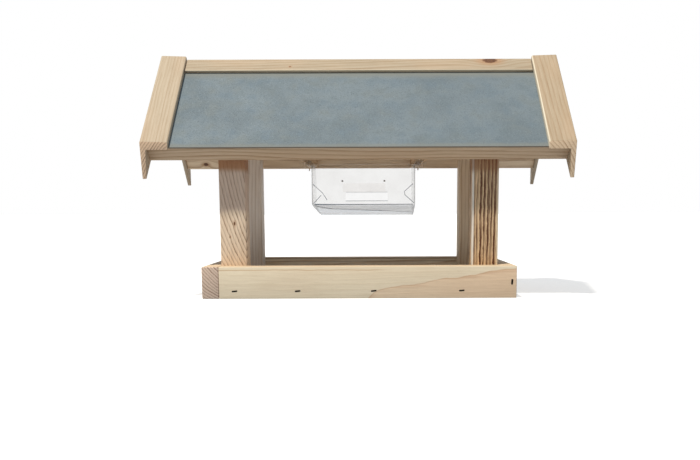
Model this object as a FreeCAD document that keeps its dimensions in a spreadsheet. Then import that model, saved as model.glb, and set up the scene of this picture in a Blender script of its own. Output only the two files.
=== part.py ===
import FreeCAD, Part
import os

import Sketcher

# Roofed bird feeder in pine: a stapled tray with a flush floor, four corner posts, a felted gable roof with
# moulded verge trims, and a clear seed hopper that slides to the front under the eave.
# Millimetres and degrees. +Z is up, +X runs along the ridge, -Y is the front, and the origin lies under the
# middle of the tray.

SIZES = {
    # Roof
    "roof_length": 500,
    "roof_half_depth": 116,
    "roof_slope": 45,
    "ridge_height": 298,
    "roof_board_thickness": 18,
    "eave_setback": 5,
    "felt_thickness": 2,
    "trim_width": 32,
    "trim_depth": 30,
    "trim_thickness": 7,
    "trim_top_lip": 6.3,
    "trim_hanging_lip": 4.6,
    "trim_rounding": 1.5,
    "cap_width": 23,
    "cap_thickness": 3.5,
    "cap_end_gap": 0.9,
    # Tray
    "tray_length": 372,
    "tray_depth": 212,
    "tray_height": 38,
    "tray_board_thickness": 20,
    "floor_thickness": 18,
    # Posts
    "post_width": 31,
    # Hopper
    "hopper_width": 128,
    "hopper_depth": 90,
    "hopper_height": 49,
    "hopper_wall": 1.5,
    "hopper_offset": 5,
    "hopper_eave_clearance": 2.2,
    "funnel_height": 13,
    "funnel_left_inset": 9.5,
    "funnel_right_inset": 1,
    "outlet_width": 20,
    "flange_reach": 4,
    "flange_thickness": 1.5,
    "slot_length": 52,
    "slot_height": 10,
    "slot_offset": 4,
    "slot_rise": 10,
    # Ties and runners that carry the hopper
    "tie_thickness": 14,
    "tie_height": 24,
    "runner_width": 10,
    "runner_length": 145,
    "runner_lip": 2,
    "runner_web": 3.8,
    "runner_stop": 5,
    "runner_clearance": 0.5,
    "runner_end_clearance": 1.7,
    "flange_clearance": 0.3,
    # Staples
    "staple_crown": 8,
    "staple_wire": 1.2,
    "staple_leg": 30,
    "staple_proud": 0.3,
    "staple_left_inset": 38.5,
    "staple_right_inset": 65,
    "staple_left_middle": 73,
    "staple_right_middle": 17,
    "staple_side_inset": 60,
    "corner_staple_inset": 5.5,
    # Screws, pins and rivets
    "screw_radius": 2,
    "screw_head_radius": 4,
    "screw_head_height": 2.5,
    "screw_hole_clearance": 0.3,
    "post_screw_length": 50,
    "roof_screw_length": 40,
    "post_screw_inset": 8,
    "tie_screw_inset": 4,
    "pin_radius": 0.8,
    "pin_head_radius": 1.5,
    "pin_head_height": 0.8,
    "verge_pin_length": 30,
    "verge_pin_inset": 18,
    "cap_pin_length": 11,
    "cap_pin_inset": 30,
    "runner_pin_length": 20,
    "runner_pin_inset": 25,
    "runner_pin_clearance": 6,
    "rivet_radius": 1.4,
    "rivet_head_radius": 2.2,
    "rivet_head_height": 0.8,
    "rivet_hole_clearance": 0.1,
    "rivet_spacing": 52,
    "rivet_rise": 29,
}
SIDES = {"front": -1, "rear": 1}
ENDS = {"left": -1, "right": 1}
RIGHT_ANGLE = 90
SAME_PLACE = 0.01

doc = FreeCAD.newDocument("BirdFeeder")
sheet = doc.addObject("Spreadsheet::Sheet", "Sizes")
for row, (size_name, size_value) in enumerate(SIZES.items(), start=1):
    sheet.set(f"A{row}", size_name)
    sheet.set(f"B{row}", str(size_value))
    sheet.setAlias(f"B{row}", size_name)
doc.recompute()

pieces = []


# Planes of the roof, counted square to the slope downwards from the outer corner of the verge trims
FELT_TOP = "Sizes.trim_thickness"
BOARD_TOP = f"({FELT_TOP} + Sizes.felt_thickness)"
BOARD_UNDER = f"({BOARD_TOP} + Sizes.roof_board_thickness)"
CAP_TOP = f"({FELT_TOP} - Sizes.cap_thickness)"


def slope_height(depth_below, out):
    """Height of a roof plane at a distance out from the ridge, depth_below the trims' outer corner."""
    return (f"(Sizes.ridge_height - ({depth_below}) / cos(Sizes.roof_slope)"
            f" - ({out}) * tan(Sizes.roof_slope))")


def underside_reach(height):
    """Distance from the ridge line at which the underside of the roof boards has this height."""
    return f"(({slope_height(BOARD_UNDER, '0')} - ({height})) / tan(Sizes.roof_slope))"


# Places that several pieces share
EAVE_OUT = "(Sizes.roof_half_depth - Sizes.eave_setback)"
EAVE_BOTTOM = f"({slope_height(BOARD_TOP, EAVE_OUT)} - Sizes.roof_board_thickness * cos(Sizes.roof_slope))"
INNER_LENGTH = "(Sizes.tray_length / 2 - Sizes.tray_board_thickness)"
INNER_DEPTH = "(Sizes.tray_depth / 2 - Sizes.tray_board_thickness)"
POST_OUT = f"({INNER_DEPTH} - Sizes.post_width / 2)"
POST_ACROSS = f"({INNER_LENGTH} - Sizes.post_width / 2)"
HOPPER_TOP = f"({EAVE_BOTTOM} - Sizes.hopper_eave_clearance)"
FLANGE_UNDER = f"({HOPPER_TOP} - Sizes.flange_thickness)"
SHOULDER = f"({HOPPER_TOP} - Sizes.hopper_height)"
OUTLET = f"({SHOULDER} - Sizes.funnel_height)"
GROOVE_FLOOR = f"({FLANGE_UNDER} - Sizes.flange_clearance)"
GROOVE_ROOF = f"({HOPPER_TOP} + Sizes.flange_clearance)"
RUNNER_UNDER = f"({GROOVE_FLOOR} - Sizes.runner_lip)"
TIE_UNDER = f"({GROOVE_ROOF} + Sizes.runner_web)"
TIE_TOP = f"({TIE_UNDER} + Sizes.tie_height)"
RUNNER_ACROSS = "(Sizes.hopper_width / 2 + Sizes.runner_clearance)"
GROOVE_DEPTH = "Sizes.flange_reach"
RUNNER_FRONT = f"({underside_reach(TIE_UNDER)} - Sizes.runner_end_clearance)"
RUNNER_REAR = f"(Sizes.runner_length - {RUNNER_FRONT})"
HOPPER_REAR = f"({RUNNER_REAR} - Sizes.runner_stop - Sizes.flange_clearance)"
HOPPER_ALONG = f"({HOPPER_REAR} - Sizes.hopper_depth / 2)"
THROUGH_BOARD = "(Sizes.roof_board_thickness * sin(Sizes.roof_slope))"
TIE_SCREW_OUT = f"({underside_reach(f'{TIE_TOP} - Sizes.tie_screw_inset')} + {THROUGH_BOARD})"
TIE_SCREW_TIP = f"({TIE_SCREW_OUT} - Sizes.roof_screw_length * sin(Sizes.roof_slope))"


def keep(item, label):
    """Give a finished sub-part the name that its file takes."""
    item.Label = label
    pieces.append(item)
    return item


def place(item, across, along, up):
    """Bind an object's position to three expressions."""
    item.setExpression("Placement.Base.x", across)
    item.setExpression("Placement.Base.y", along)
    item.setExpression("Placement.Base.z", up)


def outline(body, name, role, corners, level="0"):
    """Closed outline on one of the body's planes, lifted by level; corners are pairs of expressions."""
    sketch = body.newObject("Sketcher::SketchObject", name)
    plane = next(feature for feature in body.Origin.OriginFeatures if feature.Role == role)
    sketch.AttachmentSupport = (plane, [""])
    sketch.MapMode = "FlatFace"
    sketch.setExpression("AttachmentOffset.Base.z", level)
    points = [FreeCAD.Vector(sheet.evalExpression(a), sheet.evalExpression(b), 0) for a, b in corners]
    count = len(points)
    for index in range(count):
        sketch.addGeometry(Part.LineSegment(points[index], points[(index + 1) % count]))
    for index in range(count):
        sketch.addConstraint(Sketcher.Constraint("Coincident", index, 2, (index + 1) % count, 1))
    for index, corner in enumerate(corners):
        for kind, value, expression in zip(("DistanceX", "DistanceY"), points[index], corner):
            number = sketch.addConstraint(Sketcher.Constraint(kind, -1, 1, index, 1, value))
            sketch.setExpression(f"Constraints[{number}]", expression)
    return sketch


def rectangle(half_length, half_depth, middle=("0", "0")):
    """Corners of a rectangle round its middle."""
    return [(f"({middle[0]}) + ({i}) * ({half_length})", f"({middle[1]}) + ({j}) * ({half_depth})")
            for i, j in ((-1, -1), (1, -1), (1, 1), (-1, 1))]


def add(body, kind, name, sketch, length, reverse=False):
    """A Pad or Pocket of the outline, with its length bound to an expression."""
    feature = body.newObject(f"PartDesign::{kind}", name)
    feature.Profile = sketch
    feature.Reversed = reverse
    feature.setExpression("Length", length)
    return feature


def section_body(label, corners, start, length):
    """A piece of constant section across the ridge: corners are (Y, Z), and the piece runs along X."""
    body = doc.addObject("PartDesign::Body", label)
    add(body, "Pad", "Run", outline(body, "Section", "YZ_Plane", corners), length)
    body.setExpression("Placement.Base.x", start)
    return keep(body, label)


def block(name, lengths, middle):
    """A box bound to three lengths, placed by its middle."""
    box = doc.addObject("Part::Box", name)
    for key, expression in zip(("Length", "Width", "Height"), lengths):
        box.setExpression(key, expression)
    place(box, *[f"({centre}) - ({size}) / 2" for centre, size in zip(middle, lengths)])
    return box


def round_bar(name, radius, length, turn_axis=(0, 0, 1), turn="0"):
    """A cylinder that runs along its own Z, turned about an axis by an angle expression."""
    bar = doc.addObject("Part::Cylinder", name)
    bar.Placement = FreeCAD.Placement(FreeCAD.Vector(), FreeCAD.Rotation(FreeCAD.Vector(*turn_axis), 1))
    bar.setExpression("Placement.Rotation.Angle", turn)
    bar.setExpression("Radius", radius)
    bar.setExpression("Height", length)
    return bar


def joined(name, shapes):
    """One solid made of touching shapes."""
    fuse = doc.addObject("Part::MultiFuse", name)
    fuse.Shapes = shapes
    return fuse


def group(label, members):
    """One node that holds several like fasteners as separate solids."""
    compound = doc.addObject("Part::Compound", label)
    compound.Links = members
    return keep(compound, label)


# Tray boards, butted pinwheel fashion: each one covers the end of the next and stops against the one before
def tray():
    board = "Sizes.tray_board_thickness"
    middle_height = "Sizes.tray_height / 2"
    for name, side in SIDES.items():
        lengths = (f"Sizes.tray_length - {board}", board, "Sizes.tray_height")
        middle = (f"({-side}) * {board} / 2", f"({side}) * (Sizes.tray_depth - {board}) / 2", middle_height)
        keep(block(f"tray_{name}_board", lengths, middle), f"tray_{name}_board")
    for name, end in ENDS.items():
        lengths = (board, f"Sizes.tray_depth - {board}", "Sizes.tray_height")
        middle = (f"({end}) * (Sizes.tray_length - {board}) / 2", f"({end}) * {board} / 2", middle_height)
        keep(block(f"tray_{name}_board", lengths, middle), f"tray_{name}_board")


def post_places():
    """Name, front or rear sign and left or right sign of each post."""
    return [(f"{s}_{e}", side, end) for s, side in SIDES.items() for e, end in ENDS.items()]


# Floor flush with the bottom of the boards, with countersunk holes for the post screws
def floor():
    panel = block("FloorPanel", (f"2 * {INNER_LENGTH}", f"2 * {INNER_DEPTH}", "Sizes.floor_thickness"),
                  ("0", "0", "Sizes.floor_thickness / 2"))
    holes = []
    for name, side, end in post_places():
        hole = round_bar(f"Hole_{name}", "Sizes.screw_radius + Sizes.screw_hole_clearance",
                         "Sizes.floor_thickness")
        sink = doc.addObject("Part::Cone", f"Sink_{name}")
        sink.setExpression("Radius1", "Sizes.screw_head_radius + Sizes.screw_hole_clearance")
        sink.setExpression("Radius2", "Sizes.screw_radius + Sizes.screw_hole_clearance")
        sink.setExpression("Height", "Sizes.screw_head_height + Sizes.screw_hole_clearance")
        for item in (hole, sink):
            place(item, f"({end}) * {POST_ACROSS}", f"({side}) * {POST_OUT}", "0")
        holes += [hole, sink]
    drilled = doc.addObject("Part::Cut", "tray_floor")
    drilled.Base = panel
    drilled.Tool = joined("FloorHoles", holes)
    keep(drilled, "tray_floor")


# Posts stand on the floor in the tray's corners, with tops bevelled to the underside of the roof
def posts():
    inner_out = f"({INNER_DEPTH} - Sizes.post_width)"
    for name, side, end in post_places():
        corners = [(f"({side}) * {inner_out}", "Sizes.floor_thickness"),
                   (f"({side}) * {INNER_DEPTH}", "Sizes.floor_thickness"),
                   (f"({side}) * {INNER_DEPTH}", slope_height(BOARD_UNDER, INNER_DEPTH)),
                   (f"({side}) * {inner_out}", slope_height(BOARD_UNDER, inner_out))]
        section_body(f"post_{name}", corners, f"({end}) * {POST_ACROSS} - Sizes.post_width / 2",
                     "Sizes.post_width")


def slope_slab(side, top, under):
    """Section of a board or sheet on one slope: plumb at the ridge, square to the slope at the eave."""
    thickness = f"({under} - {top})"
    upper = slope_height(BOARD_TOP, EAVE_OUT)
    lift = f"({BOARD_TOP} - {top})"
    top_out = f"({EAVE_OUT} + {lift} * sin(Sizes.roof_slope))"
    top_height = f"({upper} + {lift} * cos(Sizes.roof_slope))"
    return [("0", slope_height(top, "0")),
            ("0", slope_height(under, "0")),
            (f"({side}) * ({top_out} - {thickness} * sin(Sizes.roof_slope))",
             f"{top_height} - {thickness} * cos(Sizes.roof_slope)"),
            (f"({side}) * {top_out}", top_height)]


# Roof boards and felt end against the hanging legs of the verge trims
def roof_slopes():
    start = "Sizes.trim_thickness - Sizes.roof_length / 2"
    length = "Sizes.roof_length - 2 * Sizes.trim_thickness"
    for name, side in SIDES.items():
        section_body(f"roof_board_{name}", slope_slab(side, BOARD_TOP, BOARD_UNDER), start, length)
        section_body(f"roof_felt_{name}", slope_slab(side, FELT_TOP, BOARD_TOP), start, length)


# Right-angled verge trims: one leg lies on the felt, the other hangs over the gable edge. Both legs thin
# towards their free edges, the hanging one more, and the ends are cut plumb.
HANGING_THINNING = "(Sizes.trim_thickness - Sizes.trim_hanging_lip)"


def verge_trims():
    thickness = "Sizes.trim_thickness"
    top_thinning = f"({thickness} - Sizes.trim_top_lip)"
    marks = [("0", "0"), ("Sizes.trim_width", top_thinning), ("Sizes.trim_width", thickness),
             (thickness, thickness), (thickness, "Sizes.trim_depth"), (HANGING_THINNING, "Sizes.trim_depth")]
    for side_name, side in SIDES.items():
        for end_name, end in ENDS.items():
            label = f"verge_trim_{side_name}_{end_name}"
            body = doc.addObject("PartDesign::Body", label)
            corners = [(f"({-end}) * {inwards}", slope_height(depth, "0")) for inwards, depth in marks]
            section = outline(body, "Section", "XZ_Plane", corners)
            run = add(body, "Pad", "Run", section, "Sizes.roof_half_depth")
            run.UseCustomVector = True
            run.AlongSketchNormal = True
            run.Direction = FreeCAD.Vector(0, side, -1)
            run.setExpression("Direction.y", f"({side}) * cos(Sizes.roof_slope)")
            run.setExpression("Direction.z", "-1 * sin(Sizes.roof_slope)")
            doc.recompute()
            rounding = body.newObject("PartDesign::Fillet", "Rounding")
            rounding.Base = (run, edges_down_slope(run.Shape, corners[:2]))
            rounding.setExpression("Radius", "Sizes.trim_rounding")
            body.setExpression("Placement.Base.x", f"({end}) * Sizes.roof_length / 2")
            keep(body, label)


def edges_down_slope(shape, starts):
    """Names of the edges that run down the slope from these places across and up at the ridge."""
    drop = sheet.evalExpression("tan(Sizes.roof_slope)")
    places = [[sheet.evalExpression(expression) for expression in start] for start in starts]
    names = []
    for number, edge in enumerate(shape.Edges, start=1):
        middle, extent = edge.CenterOfMass, edge.BoundBox
        if extent.XLength > SAME_PLACE or extent.YLength < SAME_PLACE:
            continue
        foot = (middle.x, middle.z + abs(middle.y) * drop)
        if any(max(abs(a - b) for a, b in zip(foot, spot)) < SAME_PLACE for spot in places):
            names.append(f"Edge{number}")
    return names


# Thin angled cap over the joint of the two felts, between the verge trims
def ridge_cap():
    edge_out = "(Sizes.cap_width * cos(Sizes.roof_slope))"
    edge_height = slope_height(CAP_TOP, edge_out)
    under_out = f"({edge_out} - Sizes.cap_thickness * sin(Sizes.roof_slope))"
    under_height = f"({edge_height} - Sizes.cap_thickness * cos(Sizes.roof_slope))"
    corners = [("0", slope_height(CAP_TOP, "0")), (edge_out, edge_height), (under_out, under_height),
               ("0", slope_height(FELT_TOP, "0")),
               (f"-1 * {under_out}", under_height), (f"-1 * {edge_out}", edge_height)]
    half = "(Sizes.roof_length / 2 - Sizes.trim_width - Sizes.cap_end_gap)"
    section_body("ridge_cap", corners, f"-1 * {half}", f"2 * {half}")


# Collar ties span the two slopes, with ends bevelled to the underside of the roof boards
def ties():
    low, high = underside_reach(TIE_UNDER), underside_reach(TIE_TOP)
    corners = [(f"-1 * {low}", TIE_UNDER), (low, TIE_UNDER), (high, TIE_TOP), (f"-1 * {high}", TIE_TOP)]
    for name, end in ENDS.items():
        middle = f"(Sizes.hopper_offset + ({end}) * ({RUNNER_ACROSS} + Sizes.tie_thickness / 2))"
        section_body(f"tie_{name}", corners, f"{middle} - Sizes.tie_thickness / 2", "Sizes.tie_thickness")


# Runners under the ties, from the front slope back to a closed stop, grooved for the hopper's flanges
def runners():
    for name, end in ENDS.items():
        body = doc.addObject("PartDesign::Body", f"runner_{name}")
        outer = f"({RUNNER_ACROSS} + Sizes.runner_width)"
        bar = [(f"({end}) * {RUNNER_ACROSS}", RUNNER_UNDER), (f"({end}) * {outer}", RUNNER_UNDER),
               (f"({end}) * {outer}", TIE_UNDER), (f"({end}) * {RUNNER_ACROSS}", TIE_UNDER)]
        add(body, "Pad", "Bar", outline(body, "BarSection", "XZ_Plane", bar, f"-1 * {RUNNER_REAR}"),
            "Sizes.runner_length")
        deep = f"({RUNNER_ACROSS} + {GROOVE_DEPTH})"
        groove = [(f"({end}) * {RUNNER_ACROSS}", GROOVE_FLOOR), (f"({end}) * {deep}", GROOVE_FLOOR),
                  (f"({end}) * {deep}", GROOVE_ROOF), (f"({end}) * {RUNNER_ACROSS}", GROOVE_ROOF)]
        add(body, "Pocket", "Groove", outline(body, "GrooveSection", "XZ_Plane", groove, RUNNER_FRONT),
            "Sizes.runner_length - Sizes.runner_stop")
        body.setExpression("Placement.Base.x", "Sizes.hopper_offset")
        keep(body, f"runner_{name}")


# Clear hopper: open box with side flanges, a funnel to an open outlet, and a slot in its front wall
def hopper():
    body = doc.addObject("PartDesign::Body", "hopper_box")
    half_width, half_depth, wall = "Sizes.hopper_width / 2", "Sizes.hopper_depth / 2", "Sizes.hopper_wall"
    inner_width, inner_depth = f"({half_width} - {wall})", f"({half_depth} - {wall})"
    lip_left = f"({half_width} - Sizes.funnel_left_inset)"
    lip_right = f"({half_width} - Sizes.funnel_right_inset)"
    mouth_middle = (f"({lip_right} - {lip_left}) / 2", "0")
    mouth_width, mouth_depth = f"(({lip_left} + {lip_right}) / 2 - {wall})", "Sizes.outlet_width / 2"

    outer = outline(body, "BoxOutline", "XY_Plane", rectangle(half_width, half_depth), SHOULDER)
    add(body, "Pad", "Box", outer, "Sizes.hopper_height")
    flange = rectangle(f"({half_width} + Sizes.flange_reach)", half_depth)
    add(body, "Pad", "Flanges", outline(body, "FlangeOutline", "XY_Plane", flange, FLANGE_UNDER),
        "Sizes.flange_thickness")
    funnel = body.newObject("PartDesign::AdditiveLoft", "Funnel")
    funnel.Profile = outline(body, "FunnelTop", "XY_Plane", rectangle(half_width, half_depth), SHOULDER)
    lip = rectangle(f"({mouth_width} + {wall})", f"({mouth_depth} + {wall})", mouth_middle)
    funnel.Sections = [outline(body, "FunnelLip", "XY_Plane", lip, OUTLET)]
    funnel.Ruled = True

    inside = outline(body, "InsideOutline", "XY_Plane", rectangle(inner_width, inner_depth), HOPPER_TOP)
    add(body, "Pocket", "Inside", inside, "Sizes.hopper_height")
    throat = body.newObject("PartDesign::SubtractiveLoft", "Throat")
    throat.Profile = outline(body, "ThroatTop", "XY_Plane", rectangle(inner_width, inner_depth), SHOULDER)
    mouth = rectangle(mouth_width, mouth_depth, mouth_middle)
    throat.Sections = [outline(body, "ThroatLip", "XY_Plane", mouth, OUTLET)]
    throat.Ruled = True

    slot = rectangle("Sizes.slot_length / 2", "Sizes.slot_height / 2",
                     ("Sizes.slot_offset", f"{SHOULDER} + Sizes.slot_rise"))
    add(body, "Pocket", "Slot", outline(body, "SlotOutline", "XZ_Plane", slot, half_depth), wall)
    holes = body.newObject("Sketcher::SketchObject", "RivetHoles")
    holes.AttachmentSupport = (next(f for f in body.Origin.OriginFeatures if f.Role == "XZ_Plane"), [""])
    holes.MapMode = "FlatFace"
    holes.setExpression("AttachmentOffset.Base.z", half_depth)
    for number, end in enumerate(ENDS.values()):
        centre = (f"({end}) * Sizes.rivet_spacing / 2", f"{SHOULDER} + Sizes.rivet_rise")
        values = [sheet.evalExpression(expression) for expression in centre]
        middle = FreeCAD.Vector(*values, 0)
        holes.addGeometry(Part.Circle(middle, FreeCAD.Vector(0, 0, 1), sheet.rivet_radius))
        for kind, value, expression in zip(("DistanceX", "DistanceY"), values, centre):
            index = holes.addConstraint(Sketcher.Constraint(kind, -1, 1, number, 3, value))
            holes.setExpression(f"Constraints[{index}]", expression)
        index = holes.addConstraint(Sketcher.Constraint("Radius", number, sheet.rivet_radius))
        holes.setExpression(f"Constraints[{index}]", "Sizes.rivet_radius + Sizes.rivet_hole_clearance")
    add(body, "Pocket", "RivetBores", holes, wall)
    place(body, "Sizes.hopper_offset", HOPPER_ALONG, "0")
    keep(body, "hopper_box")


# Two push rivets in the hopper's front wall
def hopper_rivets():
    rivets = []
    front = f"({HOPPER_REAR} - Sizes.hopper_depth)"
    for name, end in ENDS.items():
        parts = []
        for part, radius, length, start in (
                ("Head", "Sizes.rivet_head_radius", "Sizes.rivet_head_height",
                 f"{front} - Sizes.rivet_head_height"),
                ("Shank", "Sizes.rivet_radius", "Sizes.hopper_wall", front),
                ("Tail", "Sizes.rivet_head_radius", "Sizes.rivet_head_height",
                 f"{front} + Sizes.hopper_wall")):
            bar = round_bar(f"Rivet{part}_{name}", radius, length, (-1, 0, 0), str(RIGHT_ANGLE))
            place(bar, f"Sizes.hopper_offset + ({end}) * Sizes.rivet_spacing / 2", start,
                  f"{SHOULDER} + Sizes.rivet_rise")
            parts.append(bar)
        rivets.append(joined(f"Rivet_{name}", parts))
    group("hopper_rivets", rivets)


def staple(name, face, drive, crown_axis, drive_axis):
    """Staple with its crown on a board: face is the crown's middle, drive the sign it is driven along."""
    wire, leg = "Sizes.staple_wire", "Sizes.staple_leg"
    crown, legs = [wire] * 3, [wire] * 3
    crown[crown_axis] = "Sizes.staple_crown"
    legs[drive_axis] = leg
    middle = list(face)
    middle[drive_axis] = f"{face[drive_axis]} + ({drive}) * ({wire} / 2 - Sizes.staple_proud)"
    parts = [block(f"{name}_crown", crown, middle)]
    for mark, sign in (("a", -1), ("b", 1)):
        leg_middle = list(face)
        leg_middle[drive_axis] = f"{face[drive_axis]} + ({drive}) * ({leg} / 2 - Sizes.staple_proud)"
        leg_middle[crown_axis] = f"{face[crown_axis]} + ({sign}) * (Sizes.staple_crown - {wire}) / 2"
        parts.append(block(f"{name}_leg_{mark}", legs, leg_middle))
    return joined(name, parts)


# Staples through the tray boards into the floor's edges, and upright ones at the corners
def staples():
    across, along, up = range(3)
    half_length, half_depth = "Sizes.tray_length / 2", "Sizes.tray_depth / 2"
    floor_height = "Sizes.floor_thickness / 2"
    places = [f"Sizes.staple_left_inset - {half_length}", "-1 * Sizes.staple_left_middle",
              "Sizes.staple_right_middle", f"{half_length} - Sizes.staple_right_inset"]
    floor_staples = []
    for name, side in SIDES.items():
        for number, spot in enumerate(places):
            face = (spot, f"({side}) * {half_depth}", floor_height)
            floor_staples.append(staple(f"Staple_{name}_{number}", face, -side, across, along))
    for name, end in ENDS.items():
        for number, sign in enumerate((-1, 1)):
            spot = f"({sign}) * ({half_depth} - Sizes.staple_side_inset)"
            face = (f"({end}) * {half_length}", spot, floor_height)
            floor_staples.append(staple(f"Staple_{name}_{number}", face, -end, along, across))
    group("floor_staples", floor_staples)

    corner_staples = []
    for name, side in SIDES.items():
        spot = f"({-side}) * ({half_length} - Sizes.corner_staple_inset)"
        face = (spot, f"({side}) * {half_depth}", "Sizes.tray_height / 2")
        corner_staples.append(staple(f"CornerStaple_{name}", face, -side, up, along))
    for name, end in ENDS.items():
        spot = f"({end}) * ({half_depth} - Sizes.corner_staple_inset)"
        face = (f"({end}) * {half_length}", spot, "Sizes.tray_height / 2")
        corner_staples.append(staple(f"CornerStaple_{name}", face, -end, up, across))
    group("corner_staples", corner_staples)


# Countersunk screws from under the floor into the posts
def post_screws():
    screws = []
    for name, side, end in post_places():
        shank = round_bar(f"PostShank_{name}", "Sizes.screw_radius", "Sizes.post_screw_length")
        head = doc.addObject("Part::Cone", f"PostHead_{name}")
        head.setExpression("Radius1", "Sizes.screw_head_radius")
        head.setExpression("Radius2", "Sizes.screw_radius")
        head.setExpression("Height", "Sizes.screw_head_height")
        for item in (shank, head):
            place(item, f"({end}) * {POST_ACROSS}", f"({side}) * {POST_OUT}", "0")
        screws.append(joined(f"PostScrew_{name}", [shank, head]))
    group("post_screws", screws)


def slope_fastener(name, side, across, out, plane, length, radius, head_radius, head_height):
    """Headed bar driven square into a slope; its head ends level with a roof plane at a distance out."""
    turn_axis = (-side, 0, 0)
    parts = []
    for part, part_radius, part_length, depth in (("shank", radius, length, length),
                                                  ("head", head_radius, head_height, head_height)):
        bar = round_bar(f"{name}_{part}", part_radius, part_length, turn_axis, "Sizes.roof_slope")
        place(bar, across, f"({side}) * ({out} - {depth} * sin(Sizes.roof_slope))",
              f"{slope_height(plane, out)} - {depth} * cos(Sizes.roof_slope)")
        parts.append(bar)
    return joined(name, parts)


# Screws through the roof boards, under the felt, into the posts and the ties
def roof_screws():
    shape = ("Sizes.roof_screw_length", "Sizes.screw_radius", "Sizes.screw_head_radius",
             "Sizes.screw_head_height")
    screws = []
    for name, side, end in post_places():
        out = f"({INNER_DEPTH} - Sizes.post_screw_inset + {THROUGH_BOARD})"
        across = f"({end}) * {POST_ACROSS}"
        screws.append(slope_fastener(f"RoofScrew_{name}", side, across, out, BOARD_TOP, *shape))
    for name, side, end in post_places():
        across = f"Sizes.hopper_offset + ({end}) * ({RUNNER_ACROSS} + Sizes.tie_thickness / 2)"
        screws.append(slope_fastener(f"TieScrew_{name}", side, across, TIE_SCREW_OUT, BOARD_TOP, *shape))
    group("roof_screws", screws)


# Pins that hold the ridge cap, front and rear ones staggered
def cap_pins():
    shape = ("Sizes.cap_pin_length", "Sizes.pin_radius", "Sizes.pin_head_radius", "Sizes.pin_head_height")
    out = "(Sizes.cap_width * cos(Sizes.roof_slope) / 2)"
    reach = "(Sizes.roof_length / 2 - Sizes.trim_width - Sizes.cap_pin_inset)"
    pins = []
    for name, side in SIDES.items():
        for number, share in enumerate((-1, 0, 1)):
            across = f"({share}) * {reach} + ({side}) * Sizes.cap_pin_inset / 2"
            pins.append(slope_fastener(f"CapPin_{name}_{number}", side, across, out, CAP_TOP, *shape))
    group("ridge_cap_pins", pins)


# Pins through the hanging legs of the verge trims into the ends of the roof boards
def verge_pins():
    middle = f"({BOARD_TOP} + Sizes.roof_board_thickness / 2)"
    face = f"(Sizes.roof_length / 2 - {HANGING_THINNING} * {middle} / Sizes.trim_depth)"
    span = f"({EAVE_OUT} - 2 * Sizes.verge_pin_inset) / 2"
    pins = []
    for name, side, end in post_places():
        for number in range(3):
            out = f"(Sizes.verge_pin_inset + {number} * {span})"
            parts = []
            for part, radius, length in (("shank", "Sizes.pin_radius", "Sizes.verge_pin_length"),
                                         ("head", "Sizes.pin_head_radius", "Sizes.pin_head_height")):
                bar = round_bar(f"VergePin_{name}_{number}_{part}", radius, length, (0, -end, 0),
                                str(RIGHT_ANGLE))
                place(bar, f"({end}) * {face}", f"({side}) * {out}", slope_height(middle, out))
                parts.append(bar)
            pins.append(joined(f"VergePin_{name}_{number}", parts))
    group("verge_pins", pins)


# Pins up through the solid side of the runners into the ties, inwards of the front tie screws' tips
def runner_pins():
    solid = f"({GROOVE_DEPTH} + Sizes.runner_width) / 2"
    pins = []
    for name, end in ENDS.items():
        for number, spot in enumerate((f"{RUNNER_REAR} - Sizes.runner_pin_inset",
                                       f"Sizes.runner_pin_clearance - {TIE_SCREW_TIP}")):
            parts = [round_bar(f"RunnerPin_{name}_{number}_shank", "Sizes.pin_radius",
                               "Sizes.runner_pin_length"),
                     round_bar(f"RunnerPin_{name}_{number}_head", "Sizes.pin_head_radius",
                               "Sizes.pin_head_height")]
            for bar in parts:
                place(bar, f"Sizes.hopper_offset + ({end}) * ({RUNNER_ACROSS} + {solid})", spot, RUNNER_UNDER)
            pins.append(joined(f"RunnerPin_{name}_{number}", parts))
    group("runner_pins", pins)


def write_pieces():
    """Check every object and every finished shape, then write one file for each sub-part."""
    doc.recompute()
    for item in doc.Objects:
        if "Invalid" in item.State or "Error" in item.State:
            raise RuntimeError(f"{item.Label} did not compute: {item.State}")
    for item in pieces:
        if item.Shape.isNull() or not item.Shape.isValid() or item.Shape.Volume <= 0:
            raise RuntimeError(f"{item.Label} has no valid solid")
    os.makedirs("parts", exist_ok=True)
    for item in pieces:
        item.Shape.exportStep(f"parts/{item.Label}.step")
        print(item.Label, len(item.Shape.Solids), "solids", round(item.Shape.Volume), "mm3")


tray()
floor()
posts()
roof_slopes()
verge_trims()
ridge_cap()
ties()
runners()
hopper()
hopper_rivets()
staples()
post_screws()
roof_screws()
cap_pins()
verge_pins()
runner_pins()
write_pieces()
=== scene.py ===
import math
import random

import bmesh
import bpy
from mathutils import Matrix, Vector, noise


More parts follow.
